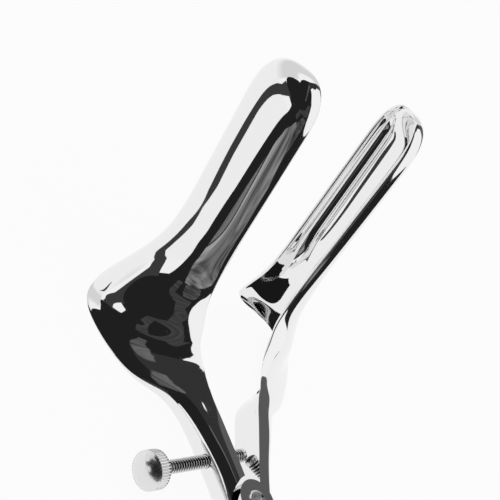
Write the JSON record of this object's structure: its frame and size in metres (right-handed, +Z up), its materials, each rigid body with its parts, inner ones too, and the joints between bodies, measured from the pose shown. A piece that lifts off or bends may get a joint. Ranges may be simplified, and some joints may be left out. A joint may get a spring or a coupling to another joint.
{
  "type": "bivalve speculum",
  "caption": "Hand-held metal speculum with spoon-like trough blades on pivoted levers and a knurled thumbscrew that holds the blades apart.",
  "frame": {"origin": "on the pivot axis, at the flat underside of the left lever's ear, which rests on the table", "axes": "+Z up along the pivot axis, +Y from the pivot towards the blades, +X from the left half to the right half"},
  "size_m": [0.077, 0.2236, 0.0808],
  "materials": {
    "mirror_steel": "mirror-polished stainless steel",
    "screw_steel": "bright turned and threaded steel",
    "knurled_steel": "turned steel with a straight knurl and a polished dome"
  },
  "bodies": {
    "left_half": {"left_lever": "mirror_steel", "left_blade": "mirror_steel", "pivot_screw": "screw_steel"},
    "right_half": {"right_lever": "mirror_steel", "right_blade": "mirror_steel"},
    "thumbscrew": {"thumbscrew_stud": "screw_steel", "thumbscrew_knob": "knurled_steel"}
  },
  "joints": [
    {"name": "blade_opening", "type": "hinge", "parent": "left_half", "child": "right_half", "pos_m": [0, 0, 0], "axis": [0, 0, -1], "range_deg": [-24, 13]},
    {"name": "thumbscrew_travel", "type": "slide", "parent": "left_half", "child": "thumbscrew", "axis": [0.9659, 0.2588, 0], "range_m": [-0.009, 0.005]}
  ],
  "couplings": [
    {"joint": "thumbscrew_travel", "follows": "blade_opening", "m_per_rad": 0.0184}
  ]
}
